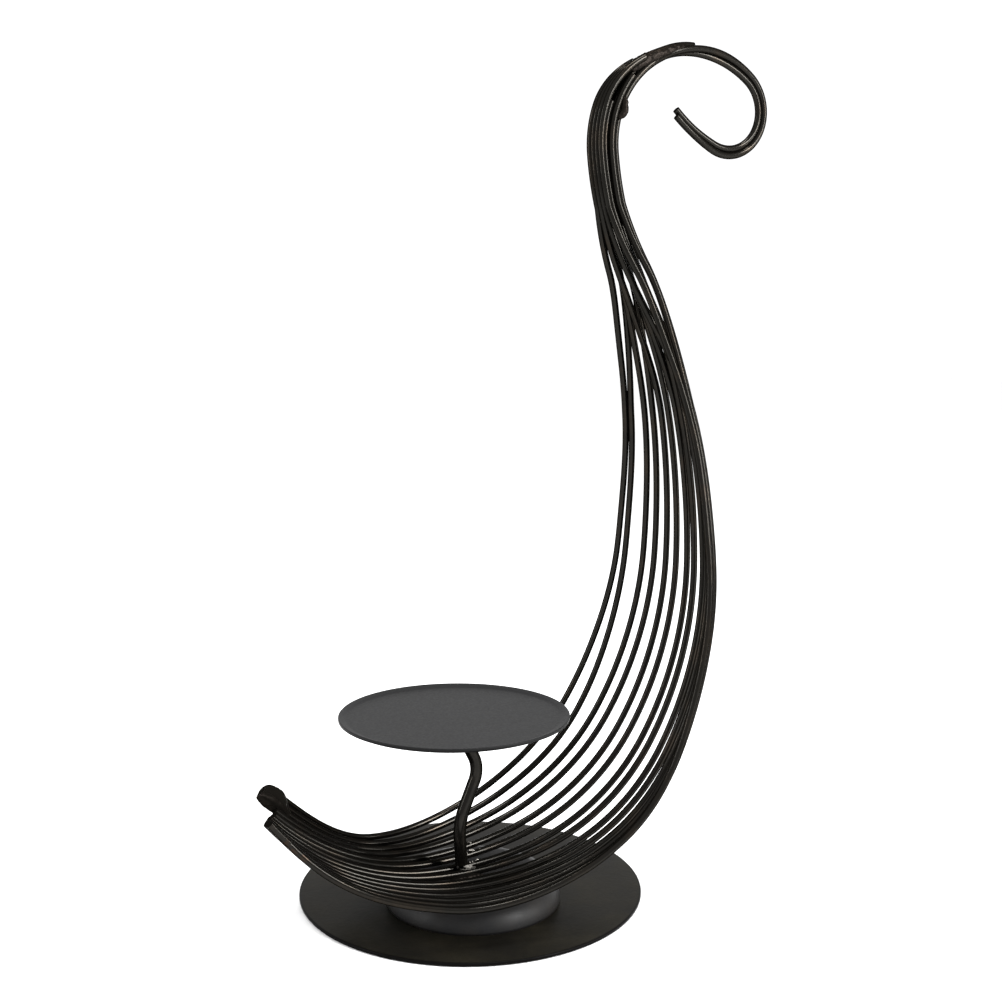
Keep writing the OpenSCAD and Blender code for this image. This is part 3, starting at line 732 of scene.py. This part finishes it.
def light_dish(settings):
    """The round dish: a flat floor, a slanting rim and the rim's rounded lip."""
    floor_round, lip_round, lip_steps, facets = 0.003, 0.0003, 3, 256
    low, high = DISH_BOX
    r, t, rim = (high.x - low.x) / 2, settings.sheet, settings.rim_width
    z0, z1, ring = low.z, high.z, r * 0.5
    under = [(0, z0), (ring, z0)] + rounded((0, z0), (r - rim, z0), (r, z1 - t), floor_round)
    lip = rounded((r - rim, z0), (r, z1 - t), (r, z1), lip_round, lip_steps)
    edge = rounded((r, z1 - t), (r, z1), (r - t / 2, z1), lip_round, lip_steps)
    top = rounded((r - t / 2, z1), (r - rim - t / 2, z0 + t), (0, z0 + t), floor_round)
    profile = under + lip + edge + [(r - t / 2, z1)] + top + [(ring, z0 + t), (0, z0 + t)]
    dish = lathe("light_dish", profile, (low + high) / 2, facets)
    dress(dish, dish_finish(settings), "candle_dish")


class HOLDER_OT_base(bpy.types.Operator):
    """Build the round plate and the dome on it"""
    bl_idname = "holder.base"
    bl_label = "Base plate and dome"

    def execute(self, context):
        plate_disc(context.scene.holder_base)
        plate_dome(context.scene.holder_base)
        return {"FINISHED"}


class HOLDER_OT_dish(bpy.types.Operator):
    """Build the dish for the tea light, with its turned-up rim"""
    bl_idname = "holder.dish"
    bl_label = "Candle dish"

    def execute(self, context):
        light_dish(context.scene.holder_dish)
        return {"FINISHED"}


# Stem and rods

STEM_RADIUS = 0.0025
# Direction in degrees in which the stem leaves its foot, where 90 is straight up.
STEM_LEAN = 94
# Each bend of the stem: the straight run before it, its radius, and its turn in degrees.
STEM_BENDS = ((0.010, 0.030, -27), (0.0105, 0.012, 50))


def stem_foot():
    """Where the stem's centre line starts, over the two middle rods."""
    play, shift = 0.0002, 0.0002
    sizes = bpy.context.scene.holder_rods
    harp = Harp(sizes)
    a, b = (harp.points(i, harp.keel_at)[0] for i in harp.middle_rods)
    spread = np.linalg.norm(a - b) / 2
    touch = STEM_RADIUS + sizes.diameter / 2 + play
    rise = math.sqrt(max(touch ** 2 - spread ** 2, 0))
    return (sizes.keel[0] + shift, (a[1] + b[1]) / 2, sizes.keel[2] + rise)


def stem_points(foot):
    """The bent stem's centre line from its foot to the underside of the dish."""
    run_steps, bend_steps = 3, 10
    x, z, way = foot[0], foot[2], math.radians(STEM_LEAN)
    out = [(x, foot[1], z)]

    def straight(run):
        """Goes on straight in a few steps."""
        nonlocal x, z
        for k in range(run_steps):
            x, z = x + run / run_steps * math.cos(way), z + run / run_steps * math.sin(way)
            out.append((x, foot[1], z))

    def bend(radius, turn):
        """Goes round a bend, to the left for a positive turn."""
        nonlocal x, z, way
        sign = 1 if turn > 0 else -1
        for k in range(bend_steps):
            new = way + math.radians(turn) / bend_steps
            x += sign * radius * (math.sin(new) - math.sin(way))
            z += sign * radius * (math.cos(way) - math.cos(new))
            way = new
            out.append((x, foot[1], z))

    for run, radius, turn in STEM_BENDS:
        straight(run)
        bend(radius, turn)
    straight((STEM_BOX[1].z - z) / math.sin(way))
    return out


def rod_material(context):
    """The finish that the stem and all rods share, made when it is first asked for."""
    return bpy.data.materials.get("Burnished rod iron") or rod_finish(context.scene.holder_rods)


class HOLDER_OT_stem(bpy.types.Operator):
    """Build the bent stem between the rods and the dish"""
    bl_idname = "holder.stem"
    bl_label = "Bent stem"

    def execute(self, context):
        sides, end_rounding = 32, (0.3, 0.1)
        iron = rod_material(context)
        stem = swept("bent_stem", stem_points(stem_foot()), STEM_RADIUS, sides, iron, end_rounding)
        dress(stem, iron, "stem_rod")
        return {"FINISHED"}


class HOLDER_OT_rods(bpy.types.Operator):
    """Build the fourteen bent rods of the harp and its hook"""
    bl_idname = "holder.rods"
    bl_label = "Harp and hook rods"

    def execute(self, context):
        end_rounding = (0.35, 0.35)
        sizes = context.scene.holder_rods
        iron = rod_material(context)
        harp = Harp(sizes)
        for i in range(harp.count):
            start, end = harp.cuts(i)
            n = int(math.ceil((end - start) / sizes.step))
            points = harp.points(i, np.linspace(start, end, n + 1))
            # The hook's two rods are thicker by their play, so that no light shows between them.
            radius = (sizes.diameter + (2 * sizes.play if i in (harp.inner, harp.outer) else 0)) / 2
            rod = swept("bent_rod_%02d" % (i + 1), points, radius, sizes.sides, iron, end_rounding)
            dress(rod, iron, harp.name(i))
        return {"FINISHED"}


# Weld beads, each by its own drops or rings

def tail_lump(harp):
    """Rings of the lump that the far four rods end in: a paddle cut aslant, with one straight side."""
    long, wide, thick = 0.0202, 0.0100, 0.0069
    on, aside, slant, sides = 0.0069, 0.0007, 0.0045, 28
    outermost, second, innermost = 0, 1, 3
    # Its rings lie closer together in the half with the free end.
    half_way, dense_rings, even_rings = 0.5, 9, 12
    # Its width along its length, as places and shares.
    width_at = (0, 0.02, 0.06, 0.16, 0.34, 0.55, 0.76, 0.9, 1)
    width_shares = (0.46, 0.75, 0.83, 0.93, 0.99, 1.06, 1.12, 1.12, 0.85)
    # It thickens from its free end and thins again where it covers the rods.
    end_share, full_at, thin_from, thin_run, thin_share, thin_power = 0.25, 0.3, 0.55, 0.45, 0.75, 1.5
    # Powers below one turn its round section into a squarer one.
    square_across, square_through = 0.63, 0.69
    l = harp.tail_cut[second] * harp.tail_stagger
    way = harp.way(second, l + on / 2)
    a, b = harp.points(outermost, l)[0], harp.points(innermost, l)[0]
    across = (b - a) - way * np.dot(b - a, way)
    across /= np.linalg.norm(across)
    through = np.cross(way, across)
    foot = (a + b) / 2 + (on - long) * way - aside * across
    angles = 2 * math.pi * np.arange(sides) / sides
    c, d = np.cos(angles), np.sin(angles)
    c, d = np.sign(c) * abs(c) ** square_across, np.sign(d) * abs(d) ** square_through
    dense = half_way * (1 - np.cos(np.linspace(0, math.pi / 2, dense_rings)[:-1]))
    rings = []
    for place in np.concatenate([dense, np.linspace(half_way, 1, even_rings)]):
        size = float(np.interp(place, width_at, width_shares))
        swell = end_share + (1 - end_share) * min(1, (place / full_at) ** 0.5)
        thin = 1 - thin_share * max(0, (place - thin_from) / thin_run) ** thin_power
        middle = foot + way * place * long + across * (1 - size) * wide / 2
        rings.append(middle + np.outer(c * size * wide / 2, across)
                     + np.outer(d * (thick / 2 * swell * thin), through)
                     + np.outer((1 - c) / 2 * (1 - place) * slant, way))
    return rings


def keel_drops(harp, i, side):
    """A bead along the outer side of a middle rod, down on the dome."""
    reach, spacing, taper = 4, 0.0015, 0.04
    aside, above = 0.0021, 0.0006
    across, through, along = 0.0019, 0.0015, 0.0016
    drops = []
    for k in range(-reach, reach + 1):
        p = harp.points(i, harp.keel_at + k * spacing)[0]
        size = 1 - taper * k * k
        centre = (p[0], p[1] + side * aside, DOME_BOX[1].z + above)
        drops.append((centre, (across * size, through * size, along), RIGHT, BACK))
    return drops


def crown_drops(harp):
    """The patch over the cut rods where the hook leaves the bundle, and over their ends."""
    patch_count, patch_start, patch_spacing = 29, 0.0335, 0.0009
    across, through, along = 0.0024, 0.0017, 0.0022
    widest, narrowing, forward, inward = 0.85, 0.45, 0.0013, 0.2
    half_count = patch_count // 2
    drops = []
    for k in range(patch_count):
        l = harp.body + patch_start + patch_spacing * k
        size = 1 - narrowing * (k / half_count - widest) ** 2
        a, b = harp.points(harp.crown, l)[0], harp.points(harp.outer, l)[0]
        middle = (a + b) / 2 - np.array([0, forward, 0]) + (a - b) * inward
        drops.append((middle, (across * size, through * size, along), harp.way(harp.crown, l), a - b))
    near_rod = harp.count - 1
    near_count, near_start, near_spacing = 6, 0.0325, 0.0017
    across, taper, through, along = 0.0023, 0.0002, 0.0016, 0.0020
    for k in range(near_count):
        l = harp.body + near_start + near_spacing * k
        a = harp.points(harp.crown, l)[0]
        b = harp.points(near_rod, min(l, harp.cuts(near_rod)[1]))[0]
        radii = (across - taper * k, through, along)
        drops.append(((a + b) / 2, radii, harp.way(harp.crown, l), a - b))
    return drops


def knob_drops(harp):
    """The wedge of weld on the inner side of the neck."""
    knob_at, sink, forward = 0.017, 0.0008, 0.0019
    # Each drop: its step along the neck, how far it stands out, and its radius.
    wedge = ((-0.0034, 0.0004, 0.0012), (-0.0022, 0.0014, 0.0016), (-0.0008, 0.0018, 0.0017),
             (0.0008, 0.0014, 0.0017), (0.0024, 0.0008, 0.0016), (0.0036, 0.0002, 0.0012))
    drops = []
    for step, out, r in wedge:
        l = harp.body + knob_at + step
        p, way = harp.points(harp.outer, l)[0], harp.way(harp.outer, l)
        inward = np.cross(BACK, way)
        centre = p + inward * (out - sink) - np.array([0, forward, 0])
        drops.append((centre, (r, r, r), way, inward))
    return drops


def foot_drops(harp, foot, seed=4):
    """A bead beside the stem's foot with the spatter that was thrown over the rods."""
    beside, beside_radii = (0.0030, -0.0004, -0.0020), (0.0018, 0.0010, 0.0024)
    below, below_radii = (0.0004, 0, -0.0016), (0.0026, 0.0025, 0.0007)
    drops = [(np.add(foot, beside), beside_radii, RIGHT, BACK),
             (np.add(foot, below), below_radii, UP, RIGHT)]
    spatter, first_rod, end_rod = 34, 4, 8
    nearest, farthest, smallest, largest, scatter = 0.002, 0.0085, 0.0003, 0.00075, 0.0008
    # The spatter fell aslant over the rods, and its drops are a little flat.
    aslant, flat = 0.47, 0.8
    rng = np.random.default_rng(seed)
    for k in range(spatter):
        i = int(rng.integers(first_rod, end_rod))
        l = harp.keel_at + rng.uniform(nearest, farthest)
        r = rng.uniform(smallest, largest)
        p = harp.points(i, l + aslant * (harp.points(i, l)[0][1] - foot[1]))[0]
        p = p + np.array([0, rng.uniform(-scatter, scatter), harp.sizes.diameter / 2])
        drops.append((p, (r, r, r * flat), UP, RIGHT))
    return drops


def head_drops():
    """The collar of weld between the stem and the dish's underside."""
    count, ring, below = 10, 0.0027, 0.0006
    radii = (0.0017, 0.0017, 0.0011)
    top = stem_points(stem_foot())[-1]
    drops = []
    for k in range(count):
        a = 2 * math.pi * k / count
        centre = (top[0] + ring * math.cos(a), top[1] + ring * math.sin(a), DISH_BOX[0].z - below)
        drops.append((centre, radii, UP, RIGHT))
    return drops


class HOLDER_OT_welds(bpy.types.Operator):
    """Build the weld beads that hold the rods, the stem and the dish together"""
    bl_idname = "holder.welds"
    bl_label = "Weld beads"

    def execute(self, context):
        tail_seed, seed_step = 5.1, 7.3
        settings = context.scene.holder_welds
        harp = Harp(context.scene.holder_rods)
        run_metal = weld_finish(settings)
        tail = loft("tail_weld_lump", tail_lump(harp), settings.lumps / 2, tail_seed)
        dress(tail, run_metal, "tail_weld")
        far, near = harp.middle_rods
        beads = {"keel_weld_far": keel_drops(harp, far, 1), "keel_weld_near": keel_drops(harp, near, -1),
                 "stem_foot_weld": foot_drops(harp, stem_foot()), "stem_head_weld": head_drops(),
                 "crown_weld": crown_drops(harp), "neck_knob": knob_drops(harp)}
        for k, (node, drops) in enumerate(beads.items()):
            bead = weld(node + "_bead", drops, settings.grain, settings.lumps, k * seed_step)
            finish = spatter_finish(settings) if node == "stem_foot_weld" else run_metal
            dress(bead, finish, node)
        return {"FINISHED"}


# Stage

LIGHT_AIM = (0.02, 0, 0.15)
# Each soft box: its name, its place, its width and height, and its power in watts.
SOFT_BOXES = (("soft_box_front", (0.62, -1.04, 0.68), (0.18, 0.9), 26),
              ("soft_box_right", (1.0, -0.69, 0.3), (0.12, 0.3), 4),
              ("soft_box_top", (0.1, -0.1, 1.4), (0.2, 0.6), 14),
              ("soft_box_left", (-1.25, 0.1, 0.6), (0.1, 1.0), 8))


def pale_floor():
    """A wide matt floor, a hair below the plate."""
    half_width, drop, white = 6, 0.0002, (0.9, 0.9, 0.9, 1)
    made = bmesh.new()
    bmesh.ops.create_grid(made, x_segments=8, y_segments=8, size=half_width)
    floor = mesh_object("pale_floor", made)
    floor.location.z = -drop
    floor.data.materials.append(Nodes("Pale floor").finish(white, roughness=0.9, specular=0.1))


def pale_studio(scene):
    """Even white light from all round."""
    world = bpy.data.worlds.new("Pale studio")
    world.use_nodes = True
    background = world.node_tree.nodes["Background"]
    background.inputs["Color"].default_value = (1, 1, 1, 1)
    background.inputs["Strength"].default_value = 1.12
    scene.world = world
    scene.view_settings.view_transform = "Standard"


def soft_box(name, place, size, power):
    """A rectangular light that shines on the holder."""
    lamp = bpy.data.lights.new(name, "AREA")
    lamp.shape = "RECTANGLE"
    lamp.size, lamp.size_y = size
    lamp.energy = power
    obj = new_object(name, lamp)
    obj.location = place
    obj.rotation_euler = (Vector(LIGHT_AIM) - Vector(place)).to_track_quat("-Z", "Y").to_euler()


def photo_view(scene, settings):
    """The camera at the photograph's viewing angle."""
    reach, height, yaw, pitch = 0.514, 0.2235, math.radians(1.4), math.radians(6.99)
    turn = math.radians(settings.turn)
    ahead = (math.sin(yaw) * math.cos(pitch), math.cos(yaw) * math.cos(pitch), -math.sin(pitch))
    lens = bpy.data.cameras.new("photo_view")
    lens.lens = settings.lens
    lens.sensor_width = 36
    lens.clip_start = 0.05
    lens.clip_end = 50
    camera = new_object("photo_view", lens)
    camera.location = (-math.sin(turn) * reach, -math.cos(turn) * reach, height)
    way = Vector((ahead[0] * math.cos(turn) + ahead[1] * math.sin(turn),
                  -ahead[0] * math.sin(turn) + ahead[1] * math.cos(turn), ahead[2]))
    camera.rotation_euler = way.to_track_quat("-Z", "Y").to_euler()
    scene.camera = camera


class HOLDER_OT_stage(bpy.types.Operator):
    """Set up the pale floor, the soft boxes and the camera"""
    bl_idname = "holder.stage"
    bl_label = "Stage"

    def execute(self, context):
        settings = context.scene.holder_stage
        pale_floor()
        pale_studio(context.scene)
        for name, place, size, power in SOFT_BOXES:
            soft_box(name, place, size, power * settings.light)
        photo_view(context.scene, settings)
        return {"FINISHED"}


# Panel and registration

OPERATORS = (HOLDER_OT_base, HOLDER_OT_dish, HOLDER_OT_stem, HOLDER_OT_rods, HOLDER_OT_welds,
             HOLDER_OT_stage)


class HOLDER_PT_panel(bpy.types.Panel):
    """Lists the pieces of the holder and their settings"""
    bl_idname = "HOLDER_PT_panel"
    bl_label = "Tea light holder"
    bl_space_type = "VIEW_3D"
    bl_region_type = "UI"
    bl_category = "Holder"

    def draw(self, context):
        for key, group in GROUPS.items():
            part = getattr(context.scene, key)
            box = self.layout.box()
            for name in group.__annotations__:
                box.prop(part, name)
        for operator in OPERATORS:
            self.layout.operator(operator.bl_idname)


def register():
    """Makes the settings, the operators and the panel known to Blender."""
    for key, group in GROUPS.items():
        bpy.utils.register_class(group)
        setattr(bpy.types.Scene, key, bpy.props.PointerProperty(type=group))
    for operator in OPERATORS:
        bpy.utils.register_class(operator)
    bpy.utils.register_class(HOLDER_PT_panel)


def unregister():
    """Takes the panel, the operators and the settings out again."""
    bpy.utils.unregister_class(HOLDER_PT_panel)
    for operator in reversed(OPERATORS):
        bpy.utils.unregister_class(operator)
    for key, group in GROUPS.items():
        delattr(bpy.types.Scene, key)
        bpy.utils.unregister_class(group)


def main():
    """Builds every piece and the stage."""
    register()
    for operator in OPERATORS:
        group, name = operator.bl_idname.split(".")
        getattr(getattr(bpy.ops, group), name)()


if __name__ == "__main__":
    main()
